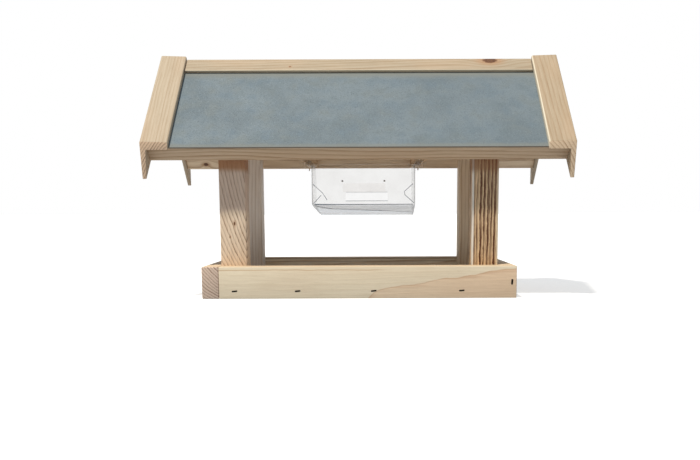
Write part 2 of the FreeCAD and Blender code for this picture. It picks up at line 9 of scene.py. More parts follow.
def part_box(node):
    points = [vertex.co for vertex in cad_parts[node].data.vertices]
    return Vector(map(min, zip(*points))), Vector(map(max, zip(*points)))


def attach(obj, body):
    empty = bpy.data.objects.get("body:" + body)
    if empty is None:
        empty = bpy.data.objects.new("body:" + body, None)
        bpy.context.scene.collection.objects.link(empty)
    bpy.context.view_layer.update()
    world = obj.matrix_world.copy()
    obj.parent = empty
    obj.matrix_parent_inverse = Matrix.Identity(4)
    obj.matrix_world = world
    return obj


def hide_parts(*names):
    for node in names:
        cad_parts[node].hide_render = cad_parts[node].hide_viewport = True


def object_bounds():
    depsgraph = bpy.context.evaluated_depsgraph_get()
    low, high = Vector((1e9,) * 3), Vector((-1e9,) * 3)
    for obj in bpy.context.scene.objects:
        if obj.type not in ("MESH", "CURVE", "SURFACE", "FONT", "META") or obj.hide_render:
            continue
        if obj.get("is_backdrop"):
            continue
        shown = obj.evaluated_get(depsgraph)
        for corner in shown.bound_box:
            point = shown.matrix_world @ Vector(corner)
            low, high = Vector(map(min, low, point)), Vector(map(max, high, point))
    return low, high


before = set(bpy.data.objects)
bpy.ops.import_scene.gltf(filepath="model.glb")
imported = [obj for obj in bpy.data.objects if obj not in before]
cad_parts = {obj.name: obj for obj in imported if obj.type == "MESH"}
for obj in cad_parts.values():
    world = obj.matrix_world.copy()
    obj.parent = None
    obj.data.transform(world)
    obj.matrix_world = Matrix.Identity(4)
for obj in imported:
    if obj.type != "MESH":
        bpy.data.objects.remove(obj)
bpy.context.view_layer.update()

# Roofed bird feeder in pine. Lengths are in millimetres and become metres where a mesh is made; only bump
# depths and the floor's reach are in metres. +X runs along the ridge, -Y is the front, +Z is up.
MM = 0.001
SLOPE = math.radians(45)
AXES = {"x": Vector((1, 0, 0)), "y": Vector((0, 1, 0)), "z": Vector((0, 0, 1))}
WELD = 1e-6
END_FACING, END_BLEND = 0.4, 0.25
rng = random.Random(7)
scene = bpy.context.scene


def linear(red, green, blue):
    """Linear colour of a screen colour given from 0 to 255."""
    levels = [level / 255 for level in (red, green, blue)]
    return tuple(c / 12.92 if c <= 0.04045 else ((c + 0.055) / 1.055) ** 2.4 for c in levels)


def box_mm(node):
    """Lowest and highest corner of a CAD node, in millimetres."""
    low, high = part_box(node)
    return low / MM, high / MM


# Materials
class Nodes:
    """Adds nodes to a node tree."""

    def __init__(self, tree):
        self.tree = tree

    def feed(self, socket, value):
        """Link a socket to another one, or set its own value."""
        if isinstance(value, bpy.types.NodeSocket):
            self.tree.links.new(value, socket)
        else:
            socket.default_value = value

    def set_inputs(self, node, **values):
        """Feed a node's inputs by name, with _ for a blank."""
        for name, value in values.items():
            self.feed(node.inputs[name.replace("_", " ")], value)
        return node

    def node(self, kind, *values, **settings):
        """Add a node with some of its settings, and feed its first inputs in order."""
        made = self.tree.nodes.new(kind)
        for name, value in settings.items():
            setattr(made, name, value)
        for socket, value in zip(made.inputs, values):
            self.feed(socket, value)
        return made

    def math(self, operation, *values, clamp=False):
        return self.node("ShaderNodeMath", *values, operation=operation, use_clamp=clamp).outputs[0]

    def times(self, first, second):
        return self.math("MULTIPLY", first, second)

    def mix(self, factor, first, second, blend="MIX"):
        """Blend two colours; a plain one is linear."""
        made = self.node("ShaderNodeMix", data_type="RGBA", blend_type=blend)
        sockets = {socket.identifier: socket for socket in made.inputs}
        for key, value in (("Factor_Float", factor), ("A_Color", first), ("B_Color", second)):
            self.feed(sockets[key], (*value, 1) if isinstance(value, tuple) else value)
        return next(socket for socket in made.outputs if socket.identifier == "Result_Color")


class Shader(Nodes):
    """Builds one material; colour holds what has been mixed so far."""

    def __init__(self, name):
        self.material = bpy.data.materials.new(name)
        self.material.use_nodes = True
        super().__init__(self.material.node_tree)
        self.surface = self.tree.nodes["Principled BSDF"]
        self.colour = None

    def vector(self, operation, *values):
        made = self.node("ShaderNodeVectorMath", *values, operation=operation)
        return made.outputs["Value" if operation == "LENGTH" else "Vector"]

    def scaled(self, vector, factor):
        made = self.node("ShaderNodeVectorMath", operation="SCALE")
        return self.set_inputs(made, Vector=vector, Scale=factor).outputs["Vector"]

    def split(self, vector):
        """The three numbers of a vector."""
        return self.node("ShaderNodeSeparateXYZ", vector).outputs

    def own_place(self):
        """Place on the piece, in millimetres."""
        return self.scaled(self.node("ShaderNodeTexCoord").outputs["Object"], 1 / MM)

    def attribute(self, name, output):
        return self.node("ShaderNodeAttribute", attribute_name=name).outputs[output]

    def noise(self, vector, scale, detail=2.0, roughness=0.5, output="Fac"):
        """Noise at one scale, or at three along the axes."""
        if isinstance(scale, tuple):
            vector, scale = self.vector("MULTIPLY", vector, scale), 1.0
        made = self.node("ShaderNodeTexNoise")
        self.set_inputs(made, Vector=vector, Scale=scale, Detail=detail, Roughness=roughness)
        return made.outputs[output]

    def ramp(self, value, stops):
        """Greys at places from 0 to 1."""
        made = self.node("ShaderNodeValToRGB", value)
        points = made.color_ramp.elements
        while len(points) < len(stops):
            points.new(0.5)
        for point, (place, level) in zip(points, stops):
            point.position = place
            point.color = (level, level, level, 1)
        return made.outputs["Color"]

    def range(self, value, low, high, to_low=0.0, to_high=1.0):
        """Carry a value smoothly from one span to another."""
        made = self.node("ShaderNodeMapRange", value, low, high, to_low, to_high,
                         interpolation_type="SMOOTHSTEP")
        return made.outputs[0]

    def stain(self, share, tone):
        """Mix a screen colour into the colour."""
        self.colour = self.mix(share, self.colour, linear(*tone))

    def bump(self, height, strength, distance):
        made = self.node("ShaderNodeBump")
        self.set_inputs(made, Strength=strength, Distance=distance, Height=height)
        self.feed(self.surface.inputs["Normal"], made.outputs["Normal"])

    def finish(self, roughness, **others):
        """Give the surface its colour, roughness and other inputs."""
        self.set_inputs(self.surface, Base_Color=self.colour, Roughness=roughness, **others)
        return self.material


def random_shift():
    """A shift in millimetres that gives each piece its own part of the noise."""
    return Vector([rng.uniform(0, 60) for _ in range(3)]) * 40


PALE, GOLD = (222, 204, 176), (190, 156, 120)
CLOUD_TONE = (200, 170, 140)
SAWN_ENDS = ((204, 180, 158), (146, 114, 94))
ALL_ALONG, ALL_DEEP = 400.0, 50.0


class Pine(Shader):
    """Sawn pine. The grain attribute gives places in the board's own millimetres from its middle: along the
    grain and two ways across it, the second one called up."""

    def __init__(self, name):
        super().__init__(name)
        self.grain = self.attribute("grain", "Vector")
        self.along, self.across, self.up = self.split(self.grain)
        self.shifted = self.vector("ADD", self.grain, random_shift())
        self.fibre = self.noise(self.shifted, (0.03, 0.9, 0.9), 3.0, 0.65)
        self.pore = self.noise(self.shifted, (0.16, 4.5, 4.5), 2.0, 0.6)
        self.streak = self.noise(self.shifted, (0.014, 0.3, 0.3), 2.0, 0.55)
        self.cloud = self.noise(self.shifted, (0.012, 0.035, 0.035), 2.0)

    def pith_gap(self, pith, tilt, bow, wander):
        """Distance from the pith line."""
        slow = self.noise(self.shifted, (0.006, 0.016, 0.016), 1.5, output="Color")
        drift = self.scaled(self.vector("SUBTRACT", slow, (0.5, 0.5, 0.5)), wander * 6)
        wavy = self.split(self.vector("ADD", self.grain, drift))
        offset = self.node("ShaderNodeCombineXYZ")
        for axis, lean, middle in zip("YZ", tilt, pith):
            leant = self.math("MULTIPLY_ADD", wavy["X"], -lean, wavy[axis])
            if bow and axis == "Y":
                leant = self.math("MULTIPLY_ADD", self.math("POWER", wavy["X"], 2.0), -bow, leant)
            self.feed(offset.inputs[axis], self.math("SUBTRACT", leant, middle))
        return self.vector("LENGTH", offset.outputs[0])

    def knot_gap(self, along, across, stretch):
        """Distance from a knot's middle, which counts less along the grain."""
        offset = self.vector("SUBTRACT", self.grain, (along, across, 0.0))
        return self.vector("LENGTH", self.vector("MULTIPLY", offset, (1 / stretch, 1.0, 0.0)))

    def swell(self, radius, gap, size):
        """Push the rings aside near a knot."""
        near = self.math("POWER", self.times(gap, 0.42 / size), 2.0)
        push = self.math("EXPONENT", self.times(near, -1.0))
        return self.math("MULTIPLY_ADD", push, size * 1.3, radius)

    def late_wood(self, radius, spacing, late_share, ragged, fuzz):
        """How far a place lies in the dark late wood of its ring."""
        uneven = self.noise(self.shifted, (0.004, 0.05, 0.05), 1.0)
        turns = self.math("MULTIPLY_ADD", uneven, 0.9, self.math("DIVIDE", radius, spacing))
        if ragged:
            torn = self.noise(self.shifted, (0.09, 0.35, 0.35), 3.0, 0.6)
            turns = self.math("MULTIPLY_ADD", torn, ragged, turns)
        stops = [(0.0, 0.05), (0.9 - late_share * 1.6, 0.08), (0.98 - late_share, 0.5),
                 (0.9, 1.0), (0.97, 0.9), (1.0, 0.05)]
        late = self.ramp(self.math("FRACT", turns), stops)
        ring_tone = self.node("ShaderNodeTexWhiteNoise", noise_dimensions="1D")
        self.set_inputs(ring_tone, W=self.math("FLOOR", turns))
        strength = self.math("MULTIPLY_ADD", ring_tone.outputs["Value"], 0.6, 0.55)
        late = self.times(late, strength)
        return self.times(late, self.range(self.fibre, 0.36, 0.6, 1.0 - fuzz, 1.0))

    def rippled(self, height, wave):
        """A height that ripples along the board."""
        ripple = self.noise(self.shifted, (0.02, 0.0, 0.0), 3.0)
        return self.math("MULTIPLY_ADD", ripple, wave, height - wave / 2)

    def pale_edge(self, side, edge, tone, share, back=ALL_DEEP):
        """A paler strip beyond an edge, as far up as back; painted highlight on the ridge cap, partly so on
        the front right trim.
        """
        strip = self.range(self.across, edge - 0.4 * side, edge + 0.4 * side, 0.0, share)
        self.stain(self.times(strip, self.range(self.up, back + 2, back - 2)), tone)

    def crown(self, start, tone, share):
        """Another tone from a start along the board to its end; on the posts this is painted shade under
        the roof.
        """
        upper = self.math("MULTIPLY_ADD", self.cloud, 12.0, self.along)
        self.stain(self.range(upper, start, start + 9.0, 0.0, share), tone)

    def heart(self, height, slope, wave, tone, share):
        """Heartwood below a rippled line that climbs along the board, with a rim and a patchy glow."""
        level = self.math("MULTIPLY_ADD", self.along, slope, self.rippled(height, wave))
        tip = self.math("EXPONENT", self.times(self.along, -0.12))
        below = self.math("SUBTRACT", self.math("MULTIPLY_ADD", tip, -9.0, level), self.up)
        further = self.range(self.along, 20.0, 170.0, 0.65, 1.0)
        self.stain(self.times(self.range(below, -0.6, 0.8, 0.0, share), further), tone)
        off_rim = self.math("ABSOLUTE", self.math("SUBTRACT", below, 0.3))
        rim = self.math("SUBTRACT", 1.0, off_rim, clamp=True)
        self.stain(self.times(rim, 0.5), (186, 140, 104))
        glow = self.times(self.range(below, 0.0, 0.6), self.range(below, 7.0, 0.5))
        patchy = self.times(glow, self.range(self.streak, 0.42, 0.62))
        self.stain(self.times(patchy, 0.4), (198, 156, 124))

    def line(self, height, wave, width, tone, share, stop=ALL_ALONG):
        """A rippled line along the board, as far as a stop."""
        off = self.math("ABSOLUTE", self.math("SUBTRACT", self.up, self.rippled(height, wave)))
        ending = self.range(self.along, stop, stop - 30)
        shown = self.times(self.range(off, width, width * 0.3), ending)
        self.stain(self.times(shown, share), tone)

    def knot(self, gap, size):
        """Dark rings in a softer rim."""
        gap = self.math("MULTIPLY_ADD", self.noise(self.grain, 0.5, 2.0), size * 0.5, gap)
        rings = self.math("MULTIPLY_ADD", self.math("SINE", self.times(gap, 3.2)), 0.12, 0.3)
        core = self.mix(rings, linear(58, 36, 24), linear(150, 100, 62))
        self.stain(self.range(gap, size * 2.6, size * 1.1, 0.0, 0.5), (172, 122, 80))
        self.colour = self.mix(self.range(gap, size * 1.25, size * 0.95), self.colour, core)

    def saw_ends(self, late, light, dark):
        """Show open grain on sawn ends."""
        rings = self.mix(late, linear(*light), linear(*dark))
        open_grain = self.mix(0.8, self.colour, rings)
        open_grain = self.mix(self.range(self.pore, 0.45, 0.7, 0.0, 0.45), open_grain, linear(124, 98, 82))
        self.colour = self.mix(self.attribute("sawn_end", "Fac"), self.colour, open_grain)


def pine(name, pith, tilt, spacing=4.0, light=PALE, dark=GOLD, contrast=1.0, wander=2.0, late_share=0.28,
         fuzz=0.3, blotch=0.25, bow=0.0, ragged=0.0, streaks=0.45, pale_edges=(), painted_shades=(), heart=None, lines=(),
         knots=(), ends=SAWN_ENDS, grime=0.0, gloss=0.3):
    """Pine with growth rings round a line that passes the board's middle at pith, leans by tilt, bends by
    bow and wanders. late_share of a ring is dark, with ragged edges and fuzz along the fibres. The pale
    edge strips, partly painted highlight, the bands of painted shade towards the board's end, heart and
    lines hold what Pine's calls for them take, knots are (along, across, size, stretch), and ends are the
    tones of sawn ends."""
    wood = Pine(name)
    radius = wood.pith_gap(pith, tilt, bow, wander)
    knot_gaps = []
    for along, across, size, stretch in knots:
        gap = wood.knot_gap(along, across, stretch)
        radius = wood.swell(radius, gap, size)
        knot_gaps.append((gap, size))
    late = wood.late_wood(radius, spacing, late_share, ragged, fuzz)
    wood.colour = wood.mix(wood.math("MULTIPLY", late, contrast, clamp=True), linear(*light), linear(*dark))
    wood.stain(wood.times(wood.range(wood.cloud, 0.4, 0.72), blotch), CLOUD_TONE)
    # Paler edge strips, some of them painted highlight, then bands of painted shade
    for pale_edge in pale_edges:
        wood.pale_edge(**pale_edge)
    for crown in painted_shades:
        wood.crown(**crown)
    if heart:
        wood.heart(**heart)
    for line in lines:
        wood.line(**line)

    # Fibres, streaks and pores darken all of that
    fibres = wood.range(wood.fibre, 0.3, 0.7, 0.0, 0.4)
    wood.colour = wood.mix(fibres, wood.colour, (0.80, 0.765, 0.72), "MULTIPLY")
    streaked = wood.range(wood.streak, 0.4, 0.7, 0.0, streaks)
    wood.colour = wood.mix(streaked, wood.colour, (0.86, 0.82, 0.77), "MULTIPLY")
    pores = wood.range(wood.pore, 0.55, 0.75, 0.0, 0.22)
    wood.colour = wood.mix(pores, wood.colour, tuple(level * 0.5 for level in linear(*dark)))
    for gap, size in knot_gaps:
        wood.knot(gap, size)
    wood.saw_ends(late, *ends)
    if grime:
        dirt = wood.noise(wood.shifted, 0.05, 4.0, 0.6)
        wood.stain(wood.range(dirt, 0.45, 0.75, 0.0, grime), (120, 108, 96))
    relief = wood.math("MULTIPLY_ADD", wood.fibre, 0.8, wood.pore)
    wood.bump(wood.math("MULTIPLY_ADD", late, 0.5, relief), 0.35, 0.0003)
    return wood.finish(wood.range(wood.fibre, 0.2, 0.8, 0.55, 0.78), Specular_IOR_Level=gloss)


def mineral_felt(name):
    """Roofing felt with blue-grey mineral granules over dark bitumen, in soft clouds of tone."""
    felt = Shader(name)
    grain = felt.attribute("grain", "Vector")
    place = felt.vector("ADD", grain, random_shift())
    cloud = felt.noise(place, 0.018, 3.0, 0.55)
    patch = felt.noise(felt.vector("ADD", place, (900, 300, 50)), 0.06, 3.0, 0.6)
    hue = felt.noise(felt.vector("ADD", place, (200, 700, 350)), 0.045, 2.0, 0.5)
    speckle = felt.noise(place, 0.9, 3.0, 0.7)
    granules = felt.node("ShaderNodeTexVoronoi", feature="F1")
    felt.set_inputs(granules, Vector=place, Scale=1.25)
    dark_ones, pale_ones, _ = felt.split(granules.outputs["Color"])
    felt.colour = felt.mix(felt.range(cloud, 0.35, 0.65), linear(107, 118, 124), linear(122, 133, 139))
    along, down, _ = felt.split(grain)
    uneven = felt.math("MULTIPLY_ADD", patch, 8.0, down)
    # Clouds and granules, then a darker end and stains below the cap and at the eave
    stains = [(hue, 0.5, 0.68, 0.5, (120, 126, 124)), (hue, 0.5, 0.32, 0.5, (103, 119, 131)),
              (patch, 0.52, 0.72, 0.4, (100, 112, 116)), (speckle, 0.3, 0.7, 0.34, (131, 141, 146)),
              (dark_ones, 0.7, 1.0, 0.5, (82, 92, 97)), (pale_ones, 0.8, 1.0, 0.36, (151, 160, 164)),
              (along, -170.0, 170.0, 0.3, (94, 106, 113)), (uneven, -41.0, -56.0, 0.85, (128, 129, 122)),
              (uneven, 75.0, 81.0, 0.6, (128, 129, 122))]
    for value, low, high, share, tone in stains:
        felt.stain(felt.range(value, low, high, 0.0, share), tone)
    felt.stain(felt.attribute("bare_edge", "Fac"), (128, 117, 104))
    pits = felt.times(granules.outputs["Distance"], -0.8)
    felt.bump(felt.math("MULTIPLY_ADD", speckle, 0.6, pits), 0.5, 0.0005)
    return felt.finish(felt.range(speckle, 0.3, 0.7, 0.8, 0.96), Specular_IOR_Level=0.25)


def clear_plastic(name, clear, hazy, bend, funnel_shade=None):
    """Clear moulded plastic with fine scuffs and two tints; bend is its index. The last argument paints
    shade:
    a tint in bands below a height, a deeper tint, and the level and lean of a line above which that shows."""
    look = Shader(name)
    place = look.own_place()
    scuff = look.noise(place, (0.4, 0.4, 2.5), 4.0, 0.7)
    haze = look.noise(place, 0.05, 3.0)
    look.bump(look.noise(place, 0.08, 2.0), 0.12, 0.0006)
    look.colour = look.mix(look.range(haze, 0.35, 0.7), clear, hazy)
    # Painted shade in grey bands below the height, deeper above the slanted line
    if funnel_shade:
        shade_tint, height, deeper_shade, level, lean = funnel_shade
        across, _, up = look.split(place)
        over = look.math("SUBTRACT", up, look.math("MULTIPLY_ADD", across, lean, level))
        shade_tint = look.mix(look.range(over, -0.5, 0.5), shade_tint, deeper_shade)
        bands = look.noise(place, (0.012, 0.1, 0.5), 2.0)
        low = look.range(up, height + 0.4, height - 0.4)
        shown = look.times(low, look.range(bands, 0.3, 0.65, 0.35, 1.0))
        look.colour = look.mix(shown, look.colour, shade_tint)
    return look.finish(look.range(scuff, 0.45, 0.8, 0.05, 0.22), Transmission_Weight=1.0, IOR=bend)


def thin_film(name):
    """Clear plastic too thin to bend the light."""
    film = Shader(name)
    scuff = film.noise(film.own_place(), (2.5, 0.3, 2.5), 4.0, 0.7)
    film.colour = film.mix(scuff, (0.60, 0.60, 0.59), (0.74, 0.74, 0.73))
    return film.finish(film.range(scuff, 0.4, 0.8, 0.1, 0.3), Alpha=0.03)


def metal(name, bright, dull, low, high):
    """Drawn steel with tarnish in patches, as rough as low to high."""
    steel = Shader(name)
    place = steel.own_place()
    patch = steel.noise(place, 1.5, 4.0, 0.65)
    steel.colour = steel.mix(steel.range(patch, 0.35, 0.65), linear(*bright), linear(*dull))
    steel.bump(steel.noise(place, 6.0, 2.0), 0.2, 0.0001)
    return steel.finish(steel.range(patch, 0.3, 0.7, low, high), Metallic=0.85)


def rivet_plastic(name):
    """Grey moulded plastic with a fine texture."""
    look = Shader(name)
    grit = look.noise(look.own_place(), 3.0, 3.0, 0.6)
    light, dark = linear(178, 175, 170), linear(150, 147, 143)
    look.colour = look.mix(look.range(grit, 0.3, 0.7), dark, light)
    look.bump(grit, 0.2, 0.0001)
    return look.finish(look.range(grit, 0.3, 0.7, 0.35, 0.55))


# Objects and meshes
def place_object(name, data):
    """Put an object into the scene."""
    made = bpy.data.objects.new(name, data)
    scene.collection.objects.link(made)
    return made


def add_object(name, mesh_data, material, body, replaced=()):
    """Place a finished mesh, let it ride on a body and name what it replaces."""
    made = place_object(name, mesh_data)
    mesh_data.materials.append(material)
    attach(made, body)
    if replaced:
        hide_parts(*replaced)


def smooth_by_angle(mesh_data, degrees):
    """Smooth shading, sharp where faces meet at more than an angle."""
    mesh_data.polygons.foreach_set("use_smooth", [True] * len(mesh_data.polygons))
    mesh_data.set_sharp_from_angle(angle=math.radians(degrees))


def mesh_from(work, name, degrees=40):
    """Turn a work mesh into smooth mesh data with even normals."""
    bmesh.ops.recalc_face_normals(work, faces=work.faces)
    made = bpy.data.meshes.new(name)
    work.to_mesh(made)
    work.free()
    smooth_by_angle(made, degrees)
    return made


def join_rings(work, rings, open_cells=()):
    """Join each ring of vertices, or point, to the next, apart from open cells: (ring, place) pairs."""
    for level, (first, second) in enumerate(zip(rings, rings[1:])):
        count = max(len(first), len(second))
        for index in range(count):
            if (level, index) in open_cells:
                continue
            following = (index + 1) % count
            corners = (first[index % len(first)], first[following % len(first)],
                       second[following % len(second)], second[index % len(second)])
            work.faces.new(list(dict.fromkeys(corners)))


def close_ends(work, rings):
    """Close the first and the last ring."""
    work.faces.new(rings[0])
    work.faces.new(list(reversed(rings[-1])))


def oval(work, middle, first, half_first, second, half_second, count):
    """A ring of vertices on an oval, from two directions and its reach along them."""
    ring = []
    for step in range(count):
        angle = 2 * math.pi * step / count
        place = middle + first * (half_first * math.cos(angle)) + second * (half_second * math.sin(angle))
        ring.append(work.verts.new(place * MM))
    return ring


def rod(work, path, half_wide, half_thick, plane_normal):
    """Sweep an oval along a flat path and close its ends; half_wide lies along the path plane's normal, and
    half_thick is one number or one for each point."""
    rings = []
    for index, place in enumerate(path):
        before, after = path[max(0, index - 1)], path[min(len(path) - 1, index + 1)]
        across = plane_normal.cross((after - before).normalized())
        thick = half_thick[index] if isinstance(half_thick, tuple) else half_thick
        rings.append(oval(work, place, plane_normal, half_wide, across, thick, 10))
    join_rings(work, rings)
    close_ends(work, rings)


def thin_plate(work, low, high, back, thick, corner, normal):
    """A plate with rounded corners and an eased outer rim. It stands on the level back along an axis, grows
    against that axis, and reaches from low to high along the other two."""
    (low_a, low_b), (high_a, high_b) = low, high
    first_axis, second_axis = [AXES[key] for key in "xyz" if key != normal]
    rings = []
    for depth, inset in ((0.0, 0.0), (thick * 0.6, 0.0), (thick, thick * 0.4)):
        ring = []
        for turn, (a, b) in enumerate(((high_a, high_b), (low_a, high_b), (low_a, low_b), (high_a, low_b))):
            middle_a = a - math.copysign(corner, a - (low_a + high_a) / 2)
            middle_b = b - math.copysign(corner, b - (low_b + high_b) / 2)
            for step in range(5):
                angle = (turn + step / 4) * math.pi / 2
                place = first_axis * (middle_a + (corner - inset) * math.cos(angle))
                place = place + second_axis * (middle_b + (corner - inset) * math.sin(angle))
                ring.append(work.verts.new((place + AXES[normal] * (back - depth)) * MM))
        rings.append(ring)
    close_ends(work, rings)
    join_rings(work, rings)


def turned_stud(work, head, outward, profile, segments):
    """Revolve (radius, height) pairs about the outward line through a head's middle."""
    side = outward.orthogonal().normalized()
    other = outward.cross(side)
    rings = []
    for radius, height in profile:
        count = segments if radius else 1
        rings.append(oval(work, head + outward * height, side, radius, other, radius, count))
    join_rings(work, rings)


def welded_copy(node):
    """A work mesh of a CAD node, with faces joined up."""
    work = bmesh.new()
    work.from_mesh(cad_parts[node].data)
    bmesh.ops.remove_doubles(work, verts=work.verts, dist=WELD)
    return work


def islands(node):
    """Boxes, in millimetres, of the separate solids of a CAD node."""
    work = welded_copy(node)
    left, found = set(work.verts), []
    while left:
        reach, members = [left.pop()], []
        while reach:
            vertex = reach.pop()
            members.append(vertex.co / MM)
            for edge in vertex.link_edges:
                other = edge.other_vert(vertex)
                if other in left:
                    left.remove(other)
                    reach.append(other)
        found.append([Vector([pick(p[k] for p in members) for k in range(3)]) for pick in (min, max)])
    work.free()
    return sorted(found, key=lambda corners: tuple(round(c, 2) for c in corners[0]))


def eased_copy(node, width):
    """A copy of a CAD node's mesh with its flat faces merged and its sharp edges eased."""
    work = welded_copy(node)
    bmesh.ops.dissolve_limit(work, angle_limit=math.radians(0.5), verts=work.verts, edges=work.edges)
    sharp = [e for e in work.edges if e.is_manifold and e.calc_face_angle() > math.radians(30)]
    bmesh.ops.bevel(work, geom=sharp, offset=width * MM, segments=3, profile=0.5, affect="EDGES",
                    clamp_overlap=True)
    low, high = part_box(node)
    for vertex in work.verts:
        vertex.co = [min(max(c, least), most) for c, least, most in zip(vertex.co, low, high)]
    made = bpy.data.meshes.new(node + "_mesh")
    work.normal_update()
    work.to_mesh(made)
    work.free()
    smooth_by_angle(made, 35)
    return made


def grain_axes(direction):
    """Grain direction and the two directions across it."""
    along = AXES[direction] if isinstance(direction, str) else direction.normalized()
    side = AXES["y"] if abs(along.x) > 0.9 else AXES["x"]
    return along, side, AXES["z"] if abs(along.z) < 0.1 else along.cross(side).normalized()


def mark_grain(mesh_data, middle, axes):
    """Store each vertex's place in the board's own millimetres, and how far each face is a sawn end."""
    places = mesh_data.attributes.new("grain", "FLOAT_VECTOR", "POINT")
    for vertex, item in zip(mesh_data.vertices, places.data):
        offset = vertex.co / MM - middle
        item.vector = [offset.dot(axis) for axis in axes]
    ends = mesh_data.attributes.new("sawn_end", "FLOAT", "FACE")
    for face, item in zip(mesh_data.polygons, ends.data):
        facing = abs(face.normal.dot(axes[0]))
        item.value = min(1.0, max(0.0, (facing - END_FACING) / END_BLEND))


def board(node, direction, ease, material):
    """A wooden piece in the place of a CAD node, with eased edges and its own grain."""
    low, high = box_mm(node)
    made = eased_copy(node, ease)
    mark_grain(made, (low + high) / 2, grain_axes(direction))
    add_object(node.replace("tray_", "wood_tray_") + "_wood", made, material, "feeder", [node])


# Tray
REAR_LINE = (120, 84, 58)
board("tray_front_board", "x", 1.0, pine(
    "pine_tray_front", (30, -70), (0.0, 0.012), 5.2, (231, 215, 188), (214, 190, 156), contrast=0.2,
    wander=1.2, blotch=0.15, streaks=0.15,
    heart=dict(height=-9.4, slope=0.143, wave=12.0, tone=(229, 196, 163), share=0.8),
    lines=[dict(height=14.8, wave=4.0, width=0.6, tone=(192, 150, 108), share=0.75, stop=32.0),
           dict(height=19.3, wave=0.0, width=1.0, tone=(184, 154, 120), share=0.55)]))
board("tray_rear_board", "x", 1.0, pine(
    "pine_tray_rear", (-46, -20), (0.03, 0.02), 4.6, (250, 238, 216), (220, 194, 160),
    lines=[dict(height=17.6, wave=1.0, width=1.6, tone=REAR_LINE, share=0.5),
           dict(height=13.2, wave=2.0, width=0.9, tone=REAR_LINE, share=0.45)]))
board("tray_left_board", "y", 1.3, pine(
    "pine_tray_left", (46, 54), (0.02, 0.03), 3.0, PALE, (178, 138, 104), contrast=0.9, wander=0.8,
    late_share=0.36, ragged=0.5, ends=((222, 197, 179), (116, 86, 74))))
board("tray_right_board", "y", 1.0, pine("pine_tray_right", (-34, -30), (-0.03, 0.02), 3.1))
board("tray_floor", "x", 0.4, pine(
    "pine_floor", (6, -70), (0.02, 0.01), 5.2, (246, 233, 210), (218, 190, 156), contrast=0.9, wander=3.0,
    grime=0.25))

# Posts
board("post_front_left", "z", 1.0, pine(
    "pine_post_1", (66, -34), (-0.3, 0.03), 4.5, (250, 226, 198), (136, 92, 62), contrast=0.95, wander=2.6,
    late_share=0.26, fuzz=0.5, bow=0.0015, ragged=0.35,
    # Painted shade: greyer from where the eave's shadow ends upward, warm brown at the top under the eave
    painted_shades=[dict(start=-8.0, tone=(190, 162, 148), share=0.5),
            dict(start=40.0, tone=(172, 120, 78), share=0.85)],
    knots=[(-23.1, 1.9, 1.1, 2.4), (-39.1, -4.0, 0.7, 1.8)]))
board("post_front_right", "z", 1.0, pine(
    "pine_post_2", (64, -10), (0.012, 0.01), 4.1, (254, 216, 168), (88, 46, 18), contrast=1.9, wander=0.8,
    late_share=0.56, fuzz=0.6, ragged=0.7,
    # A near-white strip along the left edge and a paler one along the right edge, towards the front
    pale_edges=[dict(side=-1, edge=-14.0, tone=(252, 244, 230), share=0.95, back=-6.0),
          dict(side=1, edge=13.4, tone=(252, 232, 200), share=0.7, back=-6.0)],
    # Painted shade: warm brown at the top under the eave
    painted_shades=[dict(start=40.0, tone=(150, 104, 70), share=0.65)]))
board("post_rear_left", "z", 1.0, pine(
    "pine_post_3", (-38, 24), (0.05, 0.02), 3.4, (248, 238, 226), (220, 204, 188)))
board("post_rear_right", "z", 1.0, pine(
    "pine_post_4", (36, 30), (-0.03, 0.04), 3.4, (238, 218, 190), (198, 166, 132)))

# Roof boards, verge trims, ridge cap and ties
board("roof_board_front", "x", 0.7, pine(
    "pine_roof_front", (20, -60), (0.01, 0.015), 4.2, (206, 179, 149), (155, 121, 89), contrast=0.8))
board("roof_board_rear", "x", 0.7, pine(
    "pine_roof_rear", (-16, -80), (0.012, -0.01), 4.8, (242, 215, 182), (179, 143, 109), contrast=0.9,
    knots=[(-216.0, 36.3, 2.4, 1.6)]))
TRIMS = {
    "front_left": dict(pith=(64, -60), tilt=(0.01, 0), spacing=2.6, wander=0.5),
    # The front right trim's inner edge is paler: partly paler wood, partly painted highlight where it faces
    # the light
    "front_right": dict(pith=(-58, -52), tilt=(0.012, 0.02), spacing=3.4, wander=0.9, contrast=0.65,
                        light=(178, 160, 135), ends=((236, 208, 174), (166, 128, 96)),
                        pale_edges=[dict(side=-1, edge=-14.5, tone=(232, 222, 200), share=0.85)]),
    "rear_left": dict(pith=(-40, -26), tilt=(0.02, 0.02), spacing=2.8, wander=1.0),
    "rear_right": dict(pith=(52, 14), tilt=(-0.02, 0.01), spacing=2.4, wander=0.8),
}
TRIM_LOOK = dict(light=(190, 174, 151), dark=(151, 120, 89), contrast=0.5,
                 ends=((233, 199, 166), (100, 66, 48)))
for corner_name, trim_look in TRIMS.items():
    trim_name = "verge_trim_" + corner_name
    side = -1 if "front" in corner_name else 1
    board(trim_name, Vector((0, side * math.cos(SLOPE), -math.sin(SLOPE))), 0.5,
          pine("pine_" + trim_name, **{**TRIM_LOOK, **trim_look}))
board("ridge_cap", "x", 0.4, pine(
    "pine_cap", (2, -44), (0.02, 0.03), 3.2, (178, 163, 140), (146, 117, 88), contrast=0.6, wander=0.8,
    # Painted highlight: a bright rim along the cap's lower edge
    pale_edges=[dict(side=-1, edge=-15.2, tone=(206, 192, 168), share=0.8)],
    knots=[(165.0, -2.4, 4.6, 2.3), (-116.5, 0.4, 0.7, 1.6), (-86.5, -11.0, 0.8, 1.8)]))
for end in ("left", "right"):
    board(f"tie_{end}", "y", 0.7, pine(
        f"pine_tie_{end}", (30, -22), (0.02, 0.02), 2.8, (210, 180, 144), (176, 140, 104), gloss=0.02))

